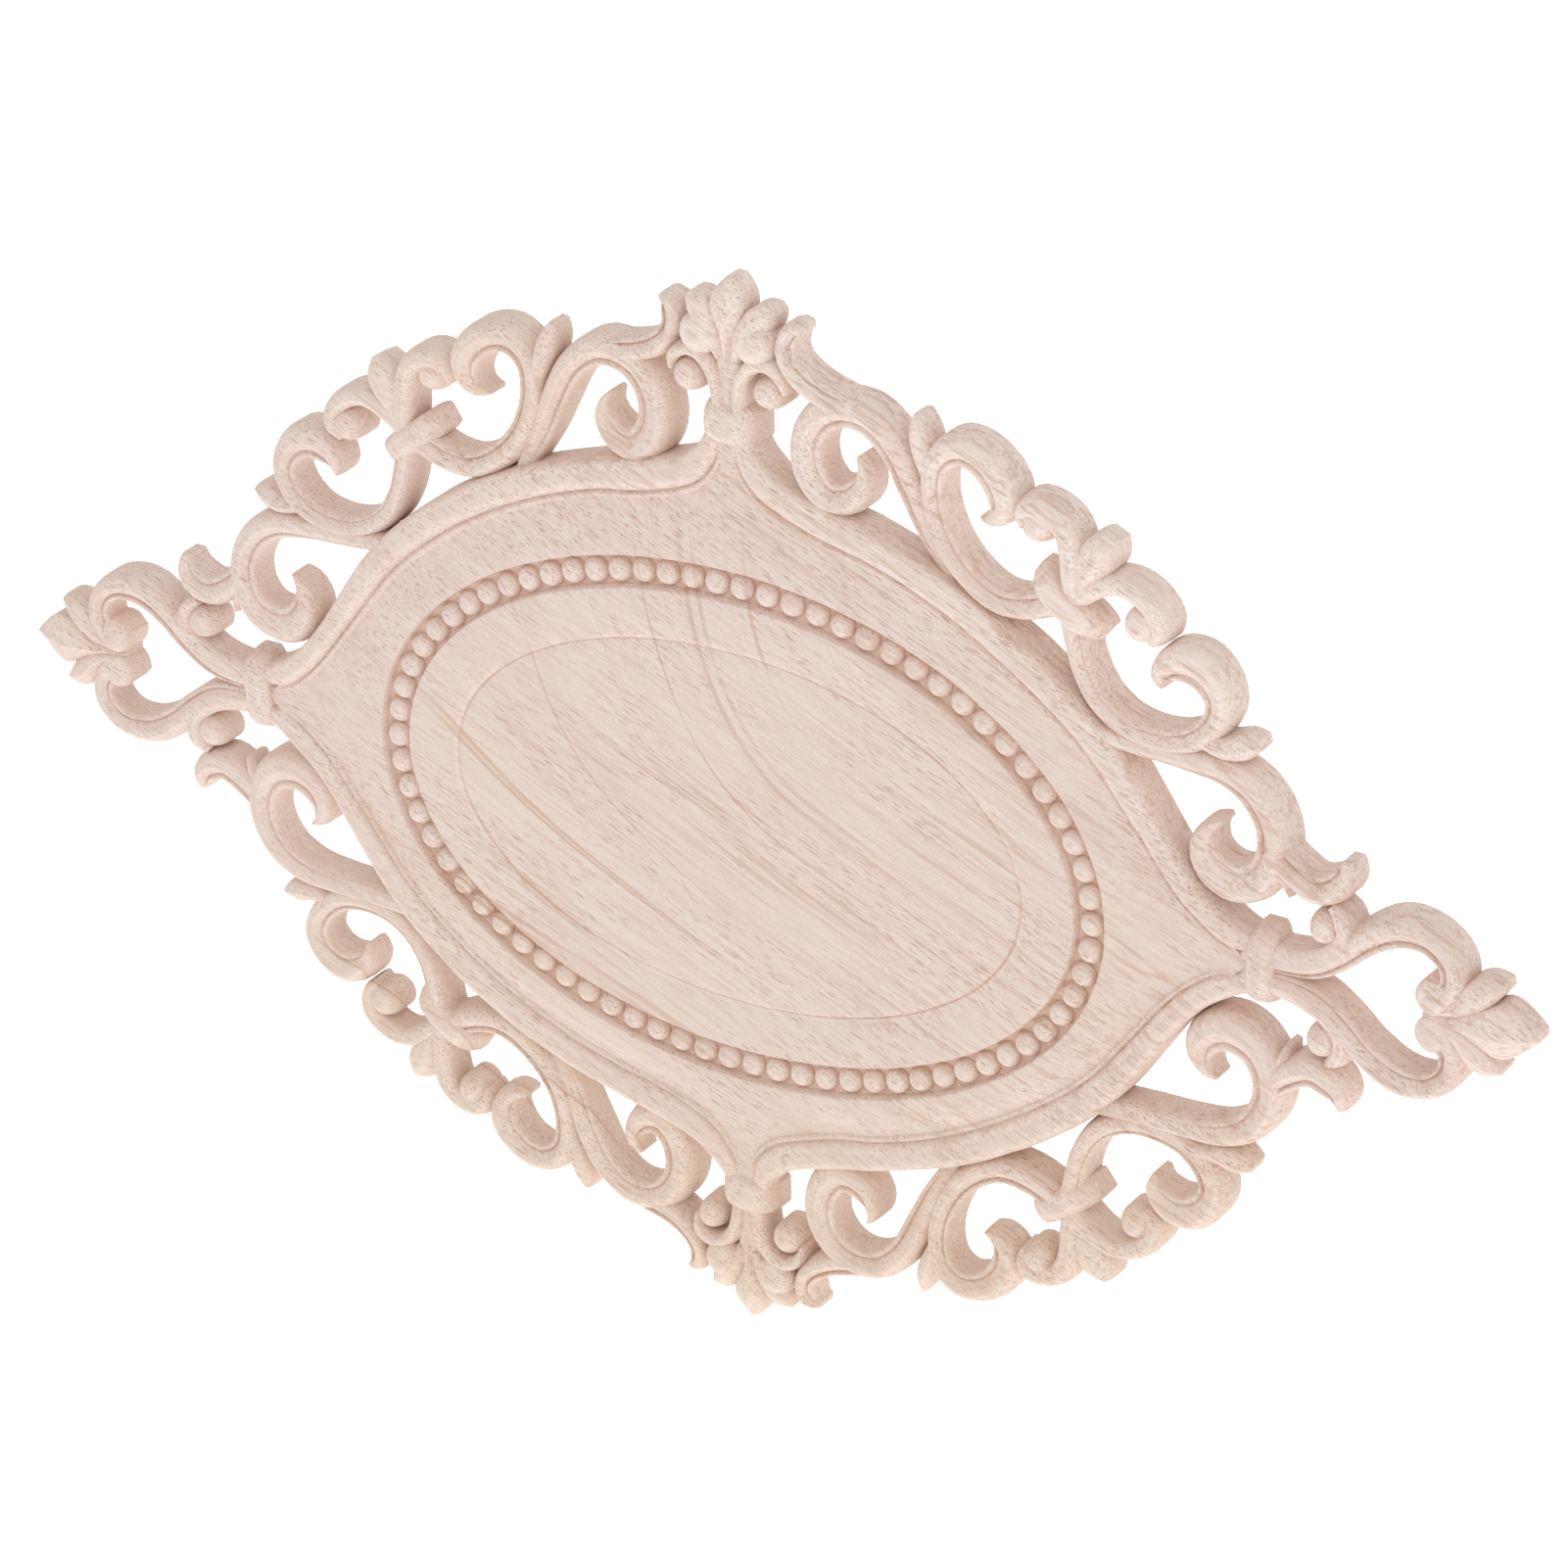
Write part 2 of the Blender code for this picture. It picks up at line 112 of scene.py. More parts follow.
# Cross-sections: place from the outer side (-1) to the inner side (1), share of the crest.
sections = {
    "scroll": [(-1.0, 0.46), (-0.98, 0.56), (-0.92, 0.68), (-0.82, 0.785), (-0.68, 0.88), (-0.50, 0.95),
               (-0.30, 0.99), (-0.12, 1.0), (0.02, 0.985), (0.14, 0.945), (0.26, 0.895), (0.38, 0.86),
               (0.47, 0.825), (0.53, 0.775), (0.57, 0.765), (0.62, 0.825), (0.70, 0.87), (0.80, 0.872),
               (0.90, 0.845), (0.97, 0.79), (1.0, 0.70)],
    "volute": [(-1.0, 0.50), (-0.97, 0.60), (-0.88, 0.72), (-0.72, 0.84), (-0.48, 0.94), (-0.20, 0.99),
               (0.05, 1.0), (0.32, 0.975), (0.58, 0.93), (0.80, 0.87), (0.94, 0.80), (1.0, 0.70)],
    "round": [(-1.0, 0.62), (-0.98, 0.70), (-0.90, 0.80), (-0.74, 0.90), (-0.48, 0.97), (-0.20, 0.995),
              (0.0, 1.0), (0.20, 0.995), (0.48, 0.97), (0.74, 0.90), (0.90, 0.80), (0.98, 0.70),
              (1.0, 0.62)],
    "frame": [(-1.0, 0.60), (-0.985, 0.71), (-0.94, 0.82), (-0.84, 0.91), (-0.66, 0.97), (-0.38, 1.0),
              (-0.08, 0.995), (0.20, 0.965), (0.38, 0.925), (0.49, 0.865), (0.555, 0.80), (0.60, 0.785),
              (0.65, 0.83), (0.73, 0.875), (0.84, 0.87), (0.93, 0.83), (1.0, 0.76)],
    "roof": [(-1.0, 0.66), (-0.96, 0.74), (-0.82, 0.81), (-0.45, 0.91), (-0.10, 0.99), (0.0, 1.0),
             (0.10, 0.985), (0.45, 0.89), (0.82, 0.79), (0.96, 0.72), (1.0, 0.64)],
    "bud": [(-1.0, 0.60), (-0.96, 0.69), (-0.84, 0.79), (-0.55, 0.91), (-0.2, 0.985), (0.0, 1.0),
            (0.12, 0.985), (0.30, 0.93), (0.55, 0.89), (0.80, 0.82), (0.95, 0.73), (1.0, 0.64)],
}

strandMaking = {
    "spacing": 1.1,        # distance between two cross-sections
    "sweeten": 1.4,        # smooths the drawn points
    "fineSpacing": 0.25,
    "pieces": 20,          # steps between two drawn points
    "innerReach": 0.8,     # the inner half stays within this share of the bend's radius
    "grooveEnds": 0.80,    # the scroll's groove fades below this share of the widest width
    "grooveFade": 0.40,
    "plainFall": 0.42,     # how far a section without the groove falls at its edges
}

# Strands of the upper right quarter: section, side of the thin inner lip (1 left, -1 right of
# the way the points run), and points as x, z, width and, where it changes, crest height.
strands = {
    "frame": ("frame", -1, [
        (1.9, 76.0, 4.2, 5.8), (2.3, 72.6, 4.4, 6.2), (2.8, 69.6, 4.8, 6.9), (4.6, 66.0, 5.9, 7.7),
        (8.8, 62.4, 6.6, 7.9), (18.7, 58.7, 7.2, 7.9), (26.8, 56.7, 6.9, 7.9), (36.9, 53.6, 7.0, 7.9),
        (46.4, 49.6, 7.4, 7.9), (53.3, 45.8, 7.3, 7.9), (58.2, 42.6, 7.2, 7.9), (65.8, 36.5, 7.0, 7.9),
        (71.7, 30.4, 6.7, 7.9), (75.5, 25.2, 6.3, 7.9), (79.4, 19.6, 5.8, 7.9), (83.2, 14.2, 5.5, 7.9),
        (87.7, 8.9, 5.5, 7.8), (92.9, 4.9, 5.7, 7.4), (97.0, 3.4, 5.0, 6.6), (101.0, 3.0, 4.6, 5.8)]),
    "innerScroll": ("scroll", -1, [
        (23.6, 72.3, 0.8, 4.8), (24.9, 70.2, 2.6, 5.8), (24.7, 67.4, 4.4, 6.6), (22.2, 64.6, 5.8, 6.9),
        (18.2, 64.2, 6.5), (15.0, 68.2, 6.6), (14.6, 73.6, 6.4), (17.1, 78.1, 6.2), (21.6, 80.2, 5.7),
        (26.8, 79.4, 5.6), (31.4, 75.5, 5.5), (34.6, 69.6, 5.4, 6.9), (37.4, 63.4, 4.8, 6.2),
        (40.4, 58.0, 4.0, 5.4), (42.4, 54.4, 3.2, 4.8)]),
    "upperScroll": ("scroll", -1, [
        (63.9, 56.8, 4.8), (57.4, 54.0, 5.0), (51.9, 53.6, 4.9), (46.7, 56.0, 4.9), (42.3, 60.3, 4.8),
        (39.6, 65.9, 4.6), (38.8, 71.4, 4.7), (40.0, 76.0, 5.1), (43.9, 78.6, 5.6), (48.6, 77.6, 6.0),
        (52.1, 74.3, 6.4), (52.8, 71.0, 5.9, 6.8), (51.6, 68.5, 4.2, 6.2), (49.8, 67.4, 2.4, 5.6),
        (48.0, 67.4, 0.8, 4.8)]),
    "sideScroll": ("scroll", 1, [
        (64.7, 56.6, 4.4), (65.8, 50.6, 4.2), (67.1, 45.6, 4.1), (69.9, 40.7, 4.1), (74.6, 37.4, 4.1),
        (80.4, 36.4, 4.3), (85.9, 37.6, 4.6), (89.8, 41.0, 4.9), (91.3, 45.0, 5.2), (90.0, 48.5, 5.9),
        (87.1, 50.8, 6.6), (83.8, 50.9, 6.3), (81.3, 49.3, 5.0, 6.8), (80.2, 47.3, 3.2, 6.2),
        (80.6, 45.4, 1.0, 5.0)]),
    "lowerScroll": ("scroll", -1, [
        (68.4, 35.2, 3.6), (74.4, 34.8, 3.9), (80.4, 34.5, 4.1), (86.4, 34.3, 4.4), (92.9, 33.6, 5.1),
        (98.2, 30.8, 5.7), (101.3, 25.8, 5.9), (101.5, 20.3, 6.2), (99.0, 15.8, 6.9), (94.6, 14.0, 7.5),
        (90.6, 15.1, 7.3), (88.4, 18.2, 6.1, 6.9), (88.6, 21.2, 4.4, 6.3), (89.8, 23.2, 2.4, 5.6),
        (91.4, 24.1, 0.8, 4.8)]),
    "heartScroll": ("scroll", -1, [
        (97.0, 1.9, 3.6), (104.0, 1.8, 3.8), (110.0, 2.9, 4.2), (115.0, 6.4, 4.8), (119.4, 10.5, 5.4),
        (125.0, 13.6, 5.8), (130.8, 13.4, 5.0), (134.6, 10.4, 4.6), (135.2, 6.4, 4.6),
        (133.0, 3.2, 5.0, 6.8), (130.2, 2.9, 3.8, 6.2), (128.9, 4.8, 1.2, 5.0)]),
    "crownVolute": ("volute", -1, [
        (1.6, 73.0, 3.2, 6.4), (2.0, 78.4, 3.0, 6.8), (2.9, 82.4, 2.9), (5.2, 85.0, 2.9), (8.2, 85.3, 2.8),
        (10.5, 83.4, 2.4), (11.0, 80.8, 1.4, 6.0)]),
    "clampVoluteLeft": ("volute", 1, [
        (65.7, 57.1, 3.8, 6.6), (65.3, 61.1, 4.2), (65.2, 65.1, 4.4), (64.2, 69.0, 4.4), (61.5, 71.5, 4.2),
        (57.8, 71.9, 4.2), (55.9, 69.9, 3.0, 6.4), (56.2, 67.8, 1.0, 5.6)]),
    "clampVoluteRight": ("volute", -1, [
        (65.7, 57.6, 3.8, 6.6), (69.8, 60.8, 3.8), (73.8, 62.0, 3.7), (77.8, 60.6, 3.8), (80.3, 57.7, 3.8),
        (80.5, 54.7, 3.4, 6.6), (78.8, 52.9, 2.0, 5.6)]),
    "tipVolute": ("volute", 1, [
        (99.0, 2.6, 4.4, 6.4), (104.5, 2.5, 5.0, 6.8), (109.2, 3.5, 4.8), (113.0, 5.9, 4.2),
        (115.4, 9.4, 3.8), (114.7, 12.9, 3.4), (112.6, 14.7, 2.2, 6.0)]),
    "crownHook": ("scroll", -1, [
        (21.9, 80.8, 4.2), (17.6, 82.0, 4.4), (14.0, 83.9, 4.2), (11.5, 86.4, 3.8), (10.7, 89.0, 3.7, 6.8),
        (11.2, 91.0, 3.9, 6.4), (12.2, 92.2, 3.0, 5.8), (13.6, 92.4, 1.2, 4.8)]),
    "sideHook": ("scroll", 1, [
        (101.3, 22.3, 4.6), (105.2, 19.0, 5.0), (109.2, 16.9, 5.6), (112.8, 17.9, 5.6),
        (114.8, 20.3, 4.4, 6.4), (115.0, 22.8, 2.0, 5.2)]),
    "sideSpur": ("bud", 1, [
        (101.3, 20.0, 3.0, 5.8), (103.6, 17.1, 2.8, 6.0), (104.6, 14.1, 1.2, 5.2)]),
    "upperBud": ("bud", 1, [
        (38.8, 71.4, 3.4, 6.6), (37.2, 75.2, 3.8), (36.1, 78.4, 4.2, 6.8), (35.5, 80.6, 3.4, 6.2),
        (35.2, 82.4, 1.4, 5.2)]),
    "sideBud": ("bud", 1, [
        (88.4, 38.2, 3.4, 6.6), (92.0, 37.6, 3.8), (94.8, 38.2, 4.4, 6.8), (96.6, 38.8, 3.8, 6.2),
        (98.2, 39.3, 1.6, 5.2)]),
    "clampBud": ("bud", 1, [
        (66.0, 57.6, 2.4, 6.2), (67.2, 61.0, 4.4, 6.8), (68.6, 64.0, 6.0, 7.4), (69.8, 66.4, 6.4, 7.2),
        (70.7, 68.2, 5.0, 6.4), (71.3, 69.4, 2.8, 5.2)]),
    "crownLeaf": ("bud", 1, [
        (1.4, 85.0, 2.4, 6.4), (2.6, 88.2, 3.8), (4.4, 91.0, 5.0, 7.0), (6.3, 92.8, 5.2, 6.4),
        (7.6, 93.9, 3.4, 5.6), (8.2, 94.4, 1.4, 4.8)]),
    "tipLeaf": ("bud", 1, [
        (131.6, 0.9, 1.8, 6.0), (135.0, 1.9, 3.2, 6.6), (137.7, 3.9, 4.8, 7.0), (140.0, 6.0, 5.4, 6.8),
        (142.1, 7.2, 3.8, 6.0), (143.7, 7.7, 1.4, 4.8)]),
    "clampBand": ("round", 1, [
        (58.0, 60.6, 3.6, 3.2), (58.8, 60.1, 4.6, 5.2), (60.0, 59.2, 5.0, 6.7), (61.8, 57.8, 5.1, 7.5),
        (64.0, 56.1, 5.1, 7.7), (66.2, 54.4, 5.1, 7.5), (68.0, 53.0, 5.0, 6.7), (69.2, 52.0, 4.6, 5.2),
        (69.9, 51.5, 3.6, 3.2)]),
    "crownBand": ("round", 1, [
        (-3.0, 73.4, 7.3, 7.9), (0.0, 73.4, 7.3, 8.0), (2.6, 73.4, 7.2, 7.8), (4.0, 73.4, 7.0, 7.0),
        (5.0, 73.4, 6.4, 5.4), (5.5, 73.4, 5.0, 3.2)]),
    "crownStem": ("round", 1, [
        (0.0, 60.0, 3.0, 5.8), (0.0, 65.0, 6.0, 6.4), (0.0, 70.0, 6.0, 6.4), (0.0, 78.0, 3.8, 6.0),
        (0.0, 84.0, 5.4, 6.0), (0.0, 89.0, 6.4, 5.8), (0.0, 92.0, 3.0, 5.0)]),
    "endStem": ("round", 1, [
        (87.0, 0.0, 3.0, 5.4), (92.0, 0.0, 5.4, 6.0), (97.0, 0.0, 5.0, 6.0), (102.0, 0.0, 4.0, 5.8),
        (107.0, 0.0, 2.0, 5.0)]),
    "crownTip": ("roof", 1, [
        (0.0, 82.0, 1.4, 6.2), (0.0, 87.0, 2.2, 6.8), (0.0, 90.4, 4.0, 7.3), (0.0, 92.6, 5.8, 7.6),
        (0.0, 94.4, 6.6, 7.4), (0.0, 96.2, 5.8, 6.7), (0.0, 97.7, 4.0, 5.8), (0.0, 98.8, 1.8, 4.8)]),
    "endBand": ("round", 1, [
        (100.0, -3.0, 5.8, 7.8), (100.0, 0.0, 5.8, 7.9), (100.0, 4.0, 5.7, 7.6), (100.0, 5.8, 5.3, 6.7),
        (100.0, 6.9, 4.4, 5.0), (100.0, 7.3, 3.4, 3.2)]),
    "endTip": ("roof", 1, [
        (130.0, 0.0, 1.6, 5.8), (135.0, 0.0, 2.8, 6.8), (139.0, 0.0, 5.4, 7.6), (142.4, 0.0, 9.0, 7.8),
        (144.6, 0.0, 9.4, 7.3), (147.2, 0.0, 6.2, 6.4), (149.8, 0.0, 1.4, 5.0)]),
}

# Domed knobs and discs: middle x and z, radius, rim height, top height.
knobs = {
    "crownKnob": (7.8, 80.3, 3.0, 3.6, 7.4),
    "clampKnobLeft": (59.1, 68.8, 3.0, 3.6, 7.4),
    "clampKnobRight": (77.2, 55.8, 3.1, 3.6, 7.4),
    "tipKnob": (111.5, 10.6, 3.1, 3.6, 7.6),
    "heartDisc": (131.8, 3.4, 3.3, 5.2, 6.9),
    "crownPetal": (5.4, 88.4, 3.7, 4.8, 7.9),
}


def smoothStep(t):
    t = np.clip(t, 0.0, 1.0)
    return t * t * (3.0 - 2.0 * t)


def sweetCurve(points, spacing):
    pts = np.array(points, dtype=float)
    pts = np.vstack([2.0 * pts[0] - pts[1], pts, 2.0 * pts[-1] - pts[-2]])
    dense = []
    for i in range(1, len(pts) - 2):
        p0, p1, p2, p3 = pts[i - 1:i + 3]
        for t in np.linspace(0.0, 1.0, strandMaking["pieces"], endpoint=False):
            dense.append(0.5 * (2.0 * p1 + (p2 - p0) * t + (2.0 * p0 - 5.0 * p1 + 4.0 * p2 - p3) * t ** 2
                                + (3.0 * p1 - p0 - 3.0 * p2 + p3) * t ** 3))
    dense = np.array(dense + [pts[-2]])
    along = np.concatenate([[0.0], np.cumsum(np.hypot(*np.diff(dense[:, :2], axis=0).T))])
    fine = np.linspace(0.0, along[-1], max(8, int(round(along[-1] / strandMaking["fineSpacing"]))))
    curve = np.stack([np.interp(fine, along, column) for column in dense.T], axis=1)
    reach = max(1, int(round(strandMaking["sweeten"] / strandMaking["fineSpacing"])))
    window = np.hanning(2 * reach + 1)[1:-1]
    window /= window.sum()
    half = len(window) // 2
    head = 2.0 * curve[0] - curve[1:half + 1][::-1]
    tail = 2.0 * curve[-1] - curve[-half - 1:-1][::-1]
    padded = np.vstack([head, curve, tail])
    curve = np.stack([np.convolve(column, window, mode="valid") for column in padded.T], axis=1)
    count = max(4, int(round(along[-1] / spacing)))
    return curve[np.round(np.linspace(0, len(curve) - 1, count + 1)).astype(int)]


def addStrand(mesh, sectionName, side, points):
    full = [tuple(p) if len(p) == 4 else tuple(p) + (relief["strandCrest"],) for p in points]
    path = sweetCurve(full, strandMaking["spacing"])
    tangents = np.gradient(path[:, :2], axis=0)
    tangents /= np.linalg.norm(tangents, axis=1)[:, None]
    headings = np.unwrap(np.arctan2(tangents[:, 1], tangents[:, 0]))
    along = np.concatenate([[0.0], np.cumsum(np.hypot(*np.diff(path[:, :2], axis=0).T))])
    turning = np.pad(side * np.gradient(headings, along), 2, mode="edge")
    bends = np.convolve(turning, np.ones(5) / 5, "valid")
    widest = path[:, 2].max()
    rings = []
    for (x, z, width, crest), (tx, tz), bend in zip(path, tangents, bends):
        inner = 0.5 * width if bend <= 0.0 else min(0.5 * width, strandMaking["innerReach"] / bend)
        plain = 0.0
        if sectionName == "scroll":
            fading = (strandMaking["grooveEnds"] - width / widest) / strandMaking["grooveFade"]
            plain = float(smoothStep(fading))
        spots = []
        for across, share in sections[sectionName]:
            plainShare = 1.0 - strandMaking["plainFall"] * across ** 4
            reach = inner if across > 0.0 else 0.5 * width
            spots.append((across * reach, crest * (share * (1.0 - plain) + plainShare * plain)))
        spots = [(spots[0][0], -relief["buried"])] + spots + [(spots[-1][0], -relief["buried"])]
        rings.append([mesh.verts.new(((x - tz * side * o) * mm, -h * mm, (z + tx * side * o) * mm))
                      for o, h in spots])
    mesh.faces.new(rings[0])
    mesh.faces.new(rings[-1][::-1])
    count = len(rings[0])
    for near, far in zip(rings, rings[1:]):
        for i in range(count):
            j = (i + 1) % count
            mesh.faces.new([near[j], near[i], far[i], far[j]])


def addKnob(mesh, x, z, radius, rim, top, sides=22, levels=6):
    profile = [(1.0, -relief["buried"])]
    for k in range(levels):
        angle = 0.5 * math.pi * k / levels
        profile.append((math.cos(angle), rim + (top - rim) * math.sin(angle)))
    rings = []
    for share, height in profile:
        rings.append([mesh.verts.new(((x + radius * share * math.cos(a)) * mm, -height * mm,
                                      (z + radius * share * math.sin(a)) * mm))
                      for a in np.arange(sides) * 2.0 * math.pi / sides])
    pole = mesh.verts.new((x * mm, -top * mm, z * mm))
    mesh.faces.new(rings[0])
    for near, far in zip(rings, rings[1:]):
        for i in range(sides):
            j = (i + 1) % sides
            mesh.faces.new([near[j], near[i], far[i], far[j]])
    for i in range(sides):
        mesh.faces.new([rings[-1][(i + 1) % sides], rings[-1][i], pole])


def frameLine():
    middle = [p[:2] for p in strands["frame"][2][3:-2]]
    dense = sweetCurve([panel["topPoint"]] + middle + [panel["endPoint"]], 0.5)
    along = np.concatenate([[0.0], np.cumsum(np.hypot(*np.diff(dense, axis=0).T))])
    shares = np.linspace(0.0, 1.0, panel["quarterSteps"] + 1) * along[-1]
    line = np.stack([np.interp(shares, along, dense[:, 0]), np.interp(shares, along, dense[:, 1])], axis=1)
    line[0, 0] = 0.0
    line[-1, 1] = 0.0
    return line


def ellipseLine(axes):
    angles = 0.5 * math.pi * (1.0 - np.linspace(0.0, 1.0, panel["quarterSteps"] + 1))
    line = np.stack([axes[0] * np.cos(angles), axes[1] * np.sin(angles)], axis=1)
    line[0, 0] = 0.0
    line[-1, 1] = 0.0
    return line


def wholeLoop(quarter):
    right = quarter[:-1]
    lower = (quarter[::-1] * (1, -1))[:-1]
    left = (quarter * (-1, -1))[:-1]
    upper = (quarter[::-1] * (-1, 1))[:-1]
    return np.vstack([right, lower, left, upper])


def grown(line, amount):
    return line * (1.0 + amount / np.hypot(*line.T))[:, None]


def panelRows():
    outline = frameLine()
    ellipses = {name: ellipseLine(panel[name]) for name in ("grooveOuter", "grooveInner", "stepEllipse")}
    step = ellipses["stepEllipse"]
    face, edge, stepHeight = relief["panelFace"], relief["fieldEdge"], relief["stepHeight"]
    groove = [(grown(ellipses[name], outside), relief[level] + rise)
              for name, outside, level, rise in grooveRows]
    steps = [(grown(step, outside), stepHeight + rise) for outside, rise in stepRows]
    rim, oval, brink = groove[0][0], groove[-1][0], steps[0][0]

    rows = [(outline, -relief["buried"]), (outline, edge)]
    for t in panel["slopeShares"]:
        rows.append((outline * (1.0 - t) + rim * t, edge + (face - edge) * smoothStep(t)))
    rows += groove
    for t in panel["ovalShares"]:
        height = face + panel["ovalCrown"] * math.sin(math.pi * t) - (face - stepHeight) * t ** 3
        rows.append((oval * (1.0 - t) + brink * t, height))
    rows += steps
    for share, rise in ovalRows:
        rows.append((step * share, stepHeight + rise))
    return rows


def addPanel(mesh):
    rings = [[mesh.verts.new((x * mm, -height * mm, z * mm)) for x, z in wholeLoop(line)]
             for line, height in panelRows()]
    middle = mesh.verts.new((0.0, -(relief["stepHeight"] + panel["middleRise"]) * mm, 0.0))
    count = len(rings[0])
    mesh.faces.new(rings[0][::-1])
    for near, far in zip(rings, rings[1:]):
        for i in range(count):
            j = (i + 1) % count
            mesh.faces.new([near[i], near[j], far[j], far[i]])
    for i in range(count):
        mesh.faces.new([rings[-1][i], rings[-1][(i + 1) % count], middle])


def meshObject(name, mesh):
    bmesh.ops.recalc_face_normals(mesh, faces=mesh.faces[:])
    data = bpy.data.meshes.new(name)
    mesh.to_mesh(data)
    mesh.free()
    obj = bpy.data.objects.new(name, data)
    bpy.context.scene.collection.objects.link(obj)
    return obj


def evaluatedMesh(obj):
    depsgraph = bpy.context.evaluated_depsgraph_get()
    depsgraph.update()
    return bpy.data.meshes.new_from_object(obj.evaluated_get(depsgraph))


def booleanStep(obj, name, operation, other, selfCrossing=False):
    step = obj.modifiers.new(name, "BOOLEAN")
    step.operation = operation
    step.solver = "EXACT"
    step.use_self = selfCrossing
    step.object = other


def mirroredOnce(mesh, axis):
    onPlane = 2e-6
    flat = [f for f in mesh.faces if all(abs(v.co[axis]) < onPlane for v in f.verts)]
    bmesh.ops.delete(mesh, geom=flat, context="FACES")
    for v in mesh.verts:
        if abs(v.co[axis]) < onPlane:
            v.co[axis] = 0.0
    copied = bmesh.ops.duplicate(mesh, geom=mesh.verts[:] + mesh.edges[:] + mesh.faces[:])["geom"]
    for v in copied:
        if isinstance(v, bmesh.types.BMVert):
            v.co[axis] = -v.co[axis]
    bmesh.ops.reverse_faces(mesh, faces=[f for f in copied if isinstance(f, bmesh.types.BMFace)])
    seam = [v for v in mesh.verts if v.co[axis] == 0.0]
    bmesh.ops.remove_doubles(mesh, verts=seam, dist=2.0 * onPlane)


quarterBlock = (0.2, 0.02, 0.15)    # cuts the carving flat at the back and on both middle lines


def carveQuarter():
    scrolls = bmesh.new()
    for sectionName, side, points in strands.values():
        addStrand(scrolls, sectionName, side, points)
    for values in knobs.values():
        addKnob(scrolls, *values)
    scrollwork = meshObject("scrollwork", scrolls)
    field = bmesh.new()
    addPanel(field)
    quarter = meshObject("quarter", field)
    block = bmesh.new()
    bmesh.ops.create_cube(block, size=1.0)
    width, depth, height = quarterBlock
    place = Matrix.Translation((0.5 * width, -0.5 * depth, 0.5 * height))
    size = Matrix.Diagonal((width, depth, height, 1.0))
    bmesh.ops.transform(block, verts=block.verts, matrix=place @ size)
    cutter = meshObject("quarterBlock", block)
    booleanStep(quarter, "union", "UNION", scrollwork, selfCrossing=True)
    booleanStep(quarter, "cut", "INTERSECT", cutter)
    result = evaluatedMesh(quarter)
    for obj in (scrollwork, quarter, cutter):
        bpy.data.objects.remove(obj, do_unlink=True)
    return result


def handUnevenness(mesh):
    places = np.empty(len(mesh.vertices) * 3)
    mesh.vertices.foreach_get("co", places)
    places = places.reshape(-1, 3) / mm
    x, y, z = places.T.copy()
    blend = unevenness["quarterBlend"]
    right = smoothStep((x + blend) / (2.0 * blend))
    upper = smoothStep((z + blend) / (2.0 * blend))
    shares = {"upperLeft": (1.0 - right) * upper, "upperRight": right * upper,
              "lowerRight": right * (1.0 - upper), "lowerLeft": (1.0 - right) * (1.0 - upper)}
    rim = np.hypot(x / panel["grooveOuter"][0], z / panel["grooveOuter"][1])
    outside = smoothStep((rim - unevenness["rimStart"]) / unevenness["rimWidth"])
    for quarter, share in shares.items():
        steps = np.array(drift[quarter])
        places[:, 0] += outside * share * np.interp(abs(x), driftPlaces, steps[:, 0])
        places[:, 2] += outside * share * np.interp(abs(x), driftPlaces, steps[:, 1])
    places[:, 2] -= panel["lowered"] * (1.0 - outside)
    wave = np.sin(0.31 * x + 0.23 * z + 1.0) * np.sin(0.27 * z - 0.19 * x + 2.0)
    places[:, 1] += unevenness["wave"] * wave * (y < -0.01)    # the back stays flat
    mesh.vertices.foreach_set("co", (places * mm).ravel())


def wholeCarving():
    quarter = carveQuarter()
    print("quarter of the carving joined:", len(quarter.vertices), "points")
    whole = bmesh.new()
    whole.from_mesh(quarter)
    bmesh.ops.triangulate(whole, faces=[f for f in whole.faces if len(f.verts) > 4], ngon_method="BEAUTY")
    mirroredOnce(whole, 0)
    mirroredOnce(whole, 2)
    openEdges = sum(1 for e in whole.edges if len(e.link_faces) != 2)
    print("whole carving:", len(whole.faces), "faces,", openEdges, "open edges")
    return meshObject("carvedApplique", whole)


class Value:
    def __init__(self, shop, socket):
        self.shop = shop
        self.socket = socket

    def mixed(self, operation, *others):
        return self.shop.node("ShaderNodeMath", {"operation": operation}, dict(enumerate((self,) + others)))

    def __add__(self, other):
        return self.mixed("ADD", other)

    def __mul__(self, other):
        return self.mixed("MULTIPLY", other)

    def __sub__(self, other):
        return self.mixed("SUBTRACT", other)

    def __rsub__(self, other):
        return self.shop.node("ShaderNodeMath", {"operation": "SUBTRACT"}, {0: other, 1: self})

    __radd__ = __add__
    __rmul__ = __mul__


